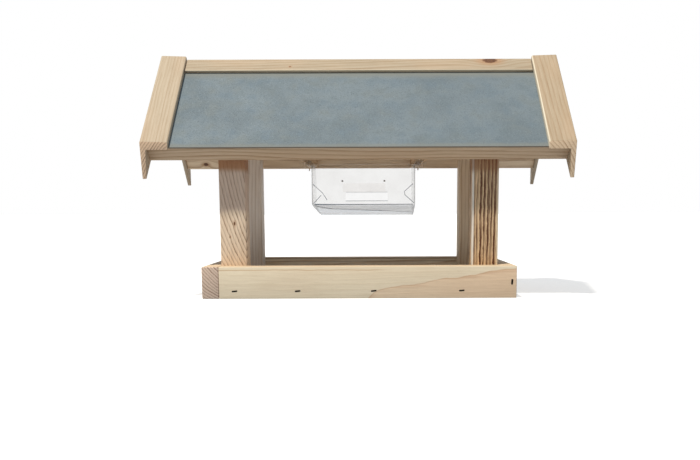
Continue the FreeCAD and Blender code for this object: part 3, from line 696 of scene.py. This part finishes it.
# Roofing felt
FELT_CELL, FELT_UPWARD = 3.5, 0.7


def felt_hollow(across, along, side):
    """How far the felt's upper face lies below its highest level, in waves and ripples."""
    spot = Vector((across, along, 40 * side))
    return 0.14 + 0.1 * noise.noise(spot / 55) + 0.06 * noise.noise(spot / 7)


def felt_sheet(side_name, side):
    """Felt on one slope: a thin, slightly uneven sheet with bare cut edges."""
    node = f"roof_felt_{side_name}"
    low, high = box_mm(node)
    board_top = box_mm(f"roof_board_{side_name}")[1].z
    thick = (high.z - board_top) * math.cos(SLOPE)
    length = high.x - low.x
    run = max(abs(low.y), abs(high.y)) / math.cos(SLOPE)
    columns, rows = round(length / FELT_CELL), round(run / FELT_CELL)
    down = Vector((0, side * math.cos(SLOPE), -math.sin(SLOPE)))
    out = Vector((0, side * math.sin(SLOPE), math.cos(SLOPE)))
    work = bmesh.new()
    layers = []
    for depth in (0.0, thick):
        # At the ridge the sheet ends plumb, so the lower face starts further down the slope
        start = depth * math.tan(SLOPE)
        layer = {}
        for row in range(rows + 1):
            along = start + (run - start) * row / rows
            for column in range(columns + 1):
                across = low.x + length * column / columns
                sunk = depth or felt_hollow(across, along, side)
                place = Vector((across, 0, high.z)) + down * along - out * sunk
                layer[row, column] = work.verts.new(place * MM)
        layers.append(layer)
    top, under = layers
    for row in range(rows):
        for column in range(columns):
            for layer in layers:
                work.faces.new((layer[row, column], layer[row + 1, column],
                                layer[row + 1, column + 1], layer[row, column + 1]))
    rim = [((row, column), (row + 1, column)) for row in range(rows) for column in (0, columns)]
    rim += [((row, column), (row, column + 1)) for column in range(columns) for row in (0, rows)]
    for first, second in rim:
        work.faces.new((top[first], top[second], under[second], under[first]))
    made = mesh_from(work, node + "_mesh", 35)
    mark_grain(made, (low + high) / 2, (AXES["x"], down, out))
    bare = made.attributes.new("bare_edge", "FLOAT", "FACE")
    for face, item in zip(made.polygons, bare.data):
        item.value = 0.0 if face.normal.dot(out) > FELT_UPWARD else 1.0
    material = mineral_felt("mineral_" + side_name)
    add_object(node + "_sheet", made, material, "feeder", [node])


felt_sheet("front", -1)
felt_sheet("rear", 1)

# Clear hopper: across and up are counted from the middle of its top
slide_low, slide_high = box_mm("hopper_box")
SHELL = 0.4
RIM_OUTSIDE, RIM_INSIDE = 0.04, 0.06
FLANGE = 4.0
TOUCH_GAP = 0.02
HOPPER = Vector(((slide_low.x + slide_high.x) / 2, (slide_low.y + slide_high.y) / 2, slide_high.z))
HALF_X = (slide_high.x - slide_low.x) / 2 - FLANGE
HALF_Y = (slide_high.y - slide_low.y) / 2
CORNER = 2.5
SHOULDER_DROP = 49.0
SHOULDER = HOPPER.z - SHOULDER_DROP
SHOULDER_ABOVE, SHOULDER_BELOW, SHOULDER_STEPS = 2.4, 1.4, 5
FUNNEL = slide_high.z - slide_low.z - SHOULDER_DROP
FUNNEL_LEFT, FUNNEL_RIGHT, FUNNEL_DEEP = 9.5, 1.0, 33.5
SLOT_LEFT, SLOT_RIGHT, SLOT_LOW, SLOT_HIGH = -22.0, 30.0, -44.0, -34.0
MARKS = (CORNER - HALF_X, -44.0, SLOT_LEFT, 4.0, SLOT_RIGHT, 44.0, HALF_X - CORNER)

# A fold aslant over the funnel's front, as across and share of the way down; the deeper painted shade
# starts there
SLANT = [(4 - HALF_X, 0.12), (-41.0, 0.38), (0.0, 0.5), (HALF_X - 3, 0.7)]
slant_lean = -FUNNEL * (SLANT[-1][1] - SLANT[1][1]) / (SLANT[-1][0] - SLANT[1][0])
slant_level = SHOULDER - FUNNEL * SLANT[2][1] - slant_lean * HOPPER.x

# Painted shade on the funnel below the shoulder, deeper above the slanted fold
CLEAR = clear_plastic("clear_plastic", (0.94, 0.938, 0.933), (0.91, 0.906, 0.9), 1.13,
                      ((0.843, 0.857, 0.876), SHOULDER, (0.722, 0.726, 0.733), slant_level, slant_lean))
DOUBLED = clear_plastic("clear_doubled", (0.97, 0.957, 0.949), (0.945, 0.931, 0.923), 1.13)
# Dark tint for the folds: painted shade along creases and edges
FOLD = clear_plastic("clear_fold", (0.30, 0.32, 0.35), (0.22, 0.24, 0.27), 1.3)
FILM = thin_film("clear_film")


def hopper_ring(left, right, inset_y, drop, corner):
    """Points round the hopper at one level, from the front left corner; left, right and inset_y are how far
    its sides are drawn in, and drop is counted from its top."""
    low_x, high_x = left + corner - HALF_X, HALF_X - right - corner
    half_y = HALF_Y - inset_y
    long_y = half_y - corner
    front = [low_x + (high_x - low_x) * (mark - MARKS[0]) / (MARKS[-1] - MARKS[0]) for mark in MARKS]
    side = [long_y * part for part in (-1, -0.5, 0, 0.5, 1)]
    flat = [(x, -half_y) for x in front]
    flat += [(high_x + corner, y) for y in side]
    flat += [(x, half_y) for x in reversed(front)]
    flat += [(low_x - corner, y) for y in reversed(side)]
    points = []
    for index, place in enumerate(flat):
        points.append(place)
        following = flat[(index + 1) % len(flat)]
        if abs(place[0] - following[0]) > WELD and abs(place[1] - following[1]) > WELD:
            middle = (high_x if place[0] > 0 else low_x, math.copysign(long_y, place[1]))
            first = math.atan2(place[1] - middle[1], place[0] - middle[0])
            for step in (1, 2, 3):
                angle = first + step * math.pi / 8
                points.append((middle[0] + corner * math.cos(angle), middle[1] + corner * math.sin(angle)))
    return [HOPPER + Vector((x, y, -drop)) for x, y in points]


def on_slot(vertex):
    """Whether a vertex lies in the hopper's front wall, between the slot's ends."""
    place = vertex.co / MM - HOPPER
    near = 0.01
    return abs(place.y + HALF_Y) < near and SLOT_LEFT - near <= place.x <= SLOT_RIGHT + near


def hopper_shell():
    """Open box with rounded corners, a funnel bottom and a slot in the front wall."""
    straight = [(RIM_OUTSIDE, 0.0), (0.0, RIM_OUTSIDE), (0.0, 1.5), (0.0, 20.0), (0.0, -SLOT_HIGH),
                (0.0, -SLOT_LOW)]
    levels = [(inset, inset, inset, drop) for inset, drop in straight]
    slot_top, slot_foot = len(levels) - 2, len(levels) - 1
    reaches = []
    for step in range(SHOULDER_STEPS + 1):
        part = step / SHOULDER_STEPS
        reaches.append((SHOULDER_BELOW * part ** 2, SHOULDER_ABOVE * (1 - part) ** 2))
    reaches += [(SHOULDER_BELOW + (FUNNEL - SHOULDER_BELOW) * share, 0.0) for share in (0.35, 0.7, 1.0)]
    for down, lift in reaches:
        share = down / FUNNEL
        levels.append((FUNNEL_LEFT * share, FUNNEL_RIGHT * share, FUNNEL_DEEP * share,
                       SHOULDER_DROP + down - lift))
    work = bmesh.new()
    outer, inner = [], []
    for number, (left, right, inset_y, drop) in enumerate(levels):
        corner = CORNER - max(0.0, drop - SHOULDER_DROP) / FUNNEL
        ring = hopper_ring(left, right, inset_y, drop, corner)
        outer.append([work.verts.new(place * MM) for place in ring])
        thin = SHELL - (RIM_INSIDE if number == 0 else 0)
        ring = hopper_ring(left + thin, right + thin, inset_y + thin, drop, max(0.6, corner - thin))
        inner.append([work.verts.new(place * MM) for place in ring])
    top = outer[slot_top]
    count = len(top)
    cells = [index for index in range(count) if on_slot(top[index]) and on_slot(top[(index + 1) % count])]
    for skin in (outer, inner):
        join_rings(work, skin, [(slot_top, index) for index in cells])
    for level in (0, -1):
        join_rings(work, (outer[level], inner[level]))
    for index in cells:
        following = (index + 1) % count
        for level in (slot_top, slot_foot):
            work.faces.new((outer[level][index], outer[level][following],
                            inner[level][following], inner[level][index]))
    for index in (cells[0], (cells[-1] + 1) % count):
        work.faces.new((outer[slot_top][index], outer[slot_foot][index],
                        inner[slot_foot][index], inner[slot_top][index]))
    return mesh_from(work, "hopper_shell_mesh", 28)


add_object("hopper_shell", hopper_shell(), CLEAR, "hopper", ["hopper_box"])

# Folds on the front wall: creases, the shoulder and the slot's two edges, each with half its thickness;
# their dark tint is painted shade
SLOT_EDGE = 0.3
FOLD_PROUD, FOLD_HALF_WIDE = 0.05, 0.28
FOLDS = [([(-62.6, -23.6), (-50.6, -34.6), (-45.1, -43.2)], 0.4),
         ([(-62.8, -48.2), (-52.3, -37.2)], 0.4),
         ([(61.2, -23.6), (50.6, -33.0), (51.4, -37.2), (62.6, -47.0)], 0.4),
         ([(3 - HALF_X, -48.6), (-40.0, -48.8), (0.0, -48.7), (HALF_X - 3, -48.6)], (0.95, 0.8, 0.6, 0.5)),
         ([(x, SLOT_LOW - SLOT_EDGE) for x in (SLOT_LEFT, 0.0, SLOT_RIGHT)], 0.3),
         ([(x, SLOT_HIGH + SLOT_EDGE) for x in (SLOT_LEFT, 0.0, SLOT_RIGHT)], 0.2)]
folds = bmesh.new()
for fold, half_thick in FOLDS:
    path = [HOPPER + Vector((x, -HALF_Y - FOLD_PROUD, up)) for x, up in fold]
    rod(folds, path, FOLD_HALF_WIDE, half_thick, AXES["y"])
# The slanted fold over the funnel's front, dark as painted shade too
slant = [HOPPER + Vector((x, FUNNEL_DEEP * share - HALF_Y, -SHOULDER_DROP - FUNNEL * share))
         for x, share in SLANT]
rod(folds, slant, 0.2, (0.9, 0.8, 0.7, 0.5), Vector((0, -FUNNEL, -FUNNEL_DEEP)).normalized())
add_object("hopper_folds", mesh_from(folds, "hopper_folds_mesh"), FOLD, "hopper")

# A second thickness of clear plastic above the slot
doubled = bmesh.new()
thin_plate(doubled, (-20.5, HOPPER.z + SLOT_HIGH + 0.6), (32.3, HOPPER.z - 22.6),
           HOPPER.y - HALF_Y - TOUCH_GAP, thick=0.5, corner=1.2, normal="y")
add_object("hopper_doubling", mesh_from(doubled, "hopper_doubling_mesh"), DOUBLED, "hopper")

# Flanges that hang the hopper in its runners
flanges = bmesh.new()
for side in (-1, 1):
    near, far = sorted((HOPPER.x + side * (HALF_X + TOUCH_GAP), HOPPER.x + side * (HALF_X + FLANGE)))
    thin_plate(flanges, (near, HOPPER.y - HALF_Y + CORNER), (far, HOPPER.y + HALF_Y - CORNER),
               HOPPER.z - 0.2, thick=1.3, corner=0.8, normal="z")
add_object("hopper_flanges", mesh_from(flanges, "hopper_flanges_mesh"), FILM, "hopper")
for end in ("left", "right"):
    runner = f"runner_{end}"
    add_object(runner + "_clear", eased_copy(runner, 0.3), FILM, "feeder", [runner])

# Rivets of the hopper
RIVET_HEAD = 0.8
RIVET_PROFILE = [(0, 0.78), (0.6, 0.66), (0.95, 0.4), (1.15, 0.05), (1.1, 0.0), (0.9, 0.0), (0.9, -SHELL),
                 (1.2, -SHELL), (1.2, -1.6), (0.9, -2.0), (0, -2.2)]
rivets = bmesh.new()
for low, high in islands("hopper_rivets"):
    head = Vector(((low.x + high.x) / 2, low.y + RIVET_HEAD, (low.z + high.z) / 2))
    turned_stud(rivets, head, -AXES["y"], RIVET_PROFILE, segments=20)
add_object("hopper_rivet_heads", mesh_from(rivets, "rivet_mesh"), rivet_plastic("rivet_dark"), "hopper",
           ["hopper_rivets"])


# Staples, each a little askew
def staple_path(half):
    """A staple's wire as (across, out) pairs, from leg to leg over the crown."""
    first = [(-half, -5.0), (-half, -1.5), (-half + 0.12, -0.8), (-half + 0.5, -0.5), (-half / 2, -0.42)]
    return first + [(0.0, -0.4)] + [(-across, out) for across, out in reversed(first)]


WIRE_HALF_THICK, WIRE_MARGIN = 0.4, 0.5
# Near-black wire: partly dark tarnish, partly painted shade of the dent each staple sits in
STAPLE = metal("staple_steel", (40, 32, 26), (24, 19, 15), 0.6, 0.8)
for node, half_wide in (("floor_staples", 1.05), ("corner_staples", 1.35)):
    wires = bmesh.new()
    for low, high in islands(node):
        size, middle = high - low, (low + high) / 2
        _, crown, leg = sorted(range(3), key=lambda axis: size[axis])
        outward = AXES["xyz"[leg]] * math.copysign(1, middle[leg])
        line = AXES["xyz"[crown]]
        upright = outward.cross(line)
        lean = math.radians(rng.uniform(2, 7)) * (1 if crown != 2 else -1)
        turn = Matrix.Rotation(lean, 3, outward)
        line, upright = turn @ line, turn @ upright
        face = middle + outward * (size[leg] / 2)
        wire = staple_path(size[crown] / 2 - WIRE_MARGIN)
        path = [face + line * across + outward * out for across, out in wire]
        rod(wires, path, half_wide, WIRE_HALF_THICK, upright)
    add_object(node + "_wire", mesh_from(wires, node + "_mesh"), STAPLE, "feeder", [node])


# Brads in the verge trims, the ridge cap and the runners
def side_head(low, high):
    """Middle of a head that faces sideways, and the way it faces."""
    middle = (low + high) / 2
    outward = Vector((math.copysign(1, middle.x), 0, 0))
    return Vector((high.x if middle.x > 0 else low.x, middle.y, middle.z)), outward


def under_head(low, high):
    """Middle of a head that faces down, and the way it faces."""
    return Vector(((low.x + high.x) / 2, (low.y + high.y) / 2, low.z)), -AXES["z"]


def slope_head(low, high, radius=None):
    """Middle of a head on a slope, and the way it faces; its box gives a radius that is left out."""
    middle = (low + high) / 2
    side = math.copysign(1, middle.y)
    rim = (radius or (high.x - low.x) / 2) * math.cos(SLOPE)
    head = Vector((middle.x, side * (max(abs(low.y), abs(high.y)) - rim), high.z - rim))
    return head, Vector((0, side * math.sin(SLOPE), math.cos(SLOPE)))


BRAD = metal("brad_steel", (168, 160, 148), (126, 116, 102), 0.35, 0.6)
DULL_BRAD = metal("dull_brad_steel", (228, 208, 184), (198, 174, 148), 0.5, 0.7)
BRAD_PROFILE = [(0, 0.02), (0.55, 0.0), (0.85, -0.1), (0.9, -0.35), (0.7, -0.7), (0.7, -6.0), (0, -6.6)]
for node, find_head, look in (("verge_pins", side_head, BRAD), ("ridge_cap_pins", slope_head, BRAD),
                              ("runner_pins", under_head, DULL_BRAD)):
    pins = bmesh.new()
    for low, high in islands(node):
        turned_stud(pins, *find_head(low, high), BRAD_PROFILE, segments=14)
    add_object(node + "_brads", mesh_from(pins, node + "_mesh"), look, "feeder", [node])


# Countersunk screws with a cross recess, under the floor and under the felt
def screw_profile(length):
    """Head, thread and tip of a screw as (radius, height) pairs."""
    profile = [(0, 0.0), (3.7, 0.0), (3.95, -0.2), (2.0, -2.5)]
    root, crest, rise, pitch = 1.5, 2.0, 0.5, 1.8
    depth = 4.0
    while depth < length - 5:
        profile += [(root, -depth), (crest, -depth - rise), (root, -depth - 2 * rise)]
        depth += pitch
    return profile + [(1.4, 3 - length), (0, 0.2 - length)]


def cross_recess(work, head, outward):
    """A cross-shaped plug that narrows downwards, to be cut out of a screw's head."""
    side = outward.orthogonal().normalized()
    other = outward.cross(side)
    long, half = 2.2, 0.45
    arm = [(long, -half), (long, half), (half, half)]
    flat = arm + [(-b, a) for a, b in arm] + [(-a, -b) for a, b in arm] + [(b, -a) for a, b in arm]
    rings = []
    for height, share in ((0.5, 1.15), (-1.6, 0.55)):
        rings.append([work.verts.new((head + outward * height + (side * a + other * b) * share) * MM)
                      for a, b in flat])
    close_ends(work, rings)
    join_rings(work, rings)


def cut_away(name, mesh_data, cutter_data):
    """The mesh with another one cut out of it."""
    pair = [place_object(name + "_cut", data) for data in (mesh_data, cutter_data)]
    cut = pair[0].modifiers.new("cut", "BOOLEAN")
    cut.operation = "DIFFERENCE"
    cut.object = pair[1]
    bpy.context.view_layer.update()
    done = bpy.data.meshes.new_from_object(pair[0].evaluated_get(bpy.context.evaluated_depsgraph_get()))
    for item in pair:
        data = item.data
        bpy.data.objects.remove(item)
        bpy.data.meshes.remove(data)
    return done


SCREW = metal("screw_steel", (150, 146, 138), (112, 106, 98), 0.3, 0.55)
ROOF_SCREW_LENGTH, ROOF_SCREW_RADIUS = 40.0, 4.0
for node in ("post_screws", "roof_screws"):
    screws, recesses = bmesh.new(), bmesh.new()
    for low, high in islands(node):
        if node == "post_screws":
            head, outward = under_head(low, high)
            length = high.z - low.z
        else:
            head, outward = slope_head(low, high, ROOF_SCREW_RADIUS)
            length = ROOF_SCREW_LENGTH
        turned_stud(screws, head, outward, screw_profile(length), segments=24)
        cross_recess(recesses, head, outward)
    done = cut_away(node, mesh_from(screws, node + "_turned"), mesh_from(recesses, node + "_recess"))
    smooth_by_angle(done, 40)
    add_object(node + "_cross", done, SCREW, "feeder", [node])

# Stage, light and camera
FLOOR_REACH = 30.0
floor_corners = [(x * FLOOR_REACH, y * FLOOR_REACH, 0) for x, y in ((-1, -1), (1, -1), (1, 1), (-1, 1))]
floor_mesh = bpy.data.meshes.new("floor")
floor_mesh.from_pydata(floor_corners, [], [(0, 1, 2, 3)])
floor_object = place_object("floor", floor_mesh)
pale = Shader("pale_floor")
rays = pale.node("ShaderNodeLightPath").outputs
pale.colour = pale.mix(rays["Is Diffuse Ray"], (0.57, 0.57, 0.57), (0.22, 0.22, 0.22))
floor_glow = pale.mix(rays["Is Camera Ray"], (0.80, 0.90, 1.0), (1.7, 1.68, 1.65))
floor_mesh.materials.append(pale.finish(0.7, Specular_IOR_Level=0.1, Emission_Color=floor_glow,
                                        Emission_Strength=0.34))
floor_object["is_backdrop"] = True

# Cool ambient light; the camera, and rays through plastic or off gloss, see a white backdrop
world = bpy.data.worlds.new("studio")
scene.world = world
world.use_nodes = True
sky = Nodes(world.node_tree)
ambient = sky.set_inputs(sky.tree.nodes["Background"], Color=(0.75, 0.87, 1.0, 1), Strength=0.36)
backdrop = sky.node("ShaderNodeBackground", (1, 1, 1, 1))
rays = sky.node("ShaderNodeLightPath").outputs
seen = sky.math("MAXIMUM", rays["Is Camera Ray"], rays["Is Transmission Ray"])
seen = sky.math("MAXIMUM", seen, rays["Is Glossy Ray"])
choose = sky.node("ShaderNodeMixShader", seen, ambient.outputs[0], backdrop.outputs[0])
sky.set_inputs(sky.tree.nodes["World Output"], Surface=choose.outputs[0])

# Soft key light from far away, above and to the left of the front
azimuth, elevation = math.radians(-38), math.radians(66.3)
lamp = bpy.data.lights.new("key", "SUN")
lamp.angle = math.radians(4.5)
lamp.energy = 3.9
lamp.color = (1.0, 0.95, 0.86)
key = place_object("key", lamp)
to_key = Vector((math.sin(azimuth) * math.cos(elevation), -math.cos(azimuth) * math.cos(elevation),
                 math.sin(elevation)))
key.rotation_euler = (-to_key).to_track_quat("-Z", "Y").to_euler()

scene.view_settings.view_transform = "Standard"
scene.view_settings.look = "None"

CAMERA_PLACE = Vector((12.135, -1047.354, 101.70))
lens = bpy.data.cameras.new("camera")
lens.sensor_width = 36.0
lens.lens = 41.143
lens.shift_x = -0.0313
lens.shift_y = 0.1288
camera = place_object("camera", lens)
yaw, pitch, roll = 0.0027, 0.1348, -0.0038
forward = Vector((math.sin(yaw) * math.cos(pitch), math.cos(yaw) * math.cos(pitch), -math.sin(pitch)))
right = Vector((math.cos(yaw), -math.sin(yaw), 0))
upward = right.cross(forward)
right, upward = (right * math.cos(roll) + upward * math.sin(roll),
                 upward * math.cos(roll) - right * math.sin(roll))
turned = Matrix((right, upward, -forward)).transposed()
camera.matrix_world = Matrix.Translation(CAMERA_PLACE * MM) @ turned.to_4x4()
bpy.context.scene.camera = camera

low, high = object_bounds()
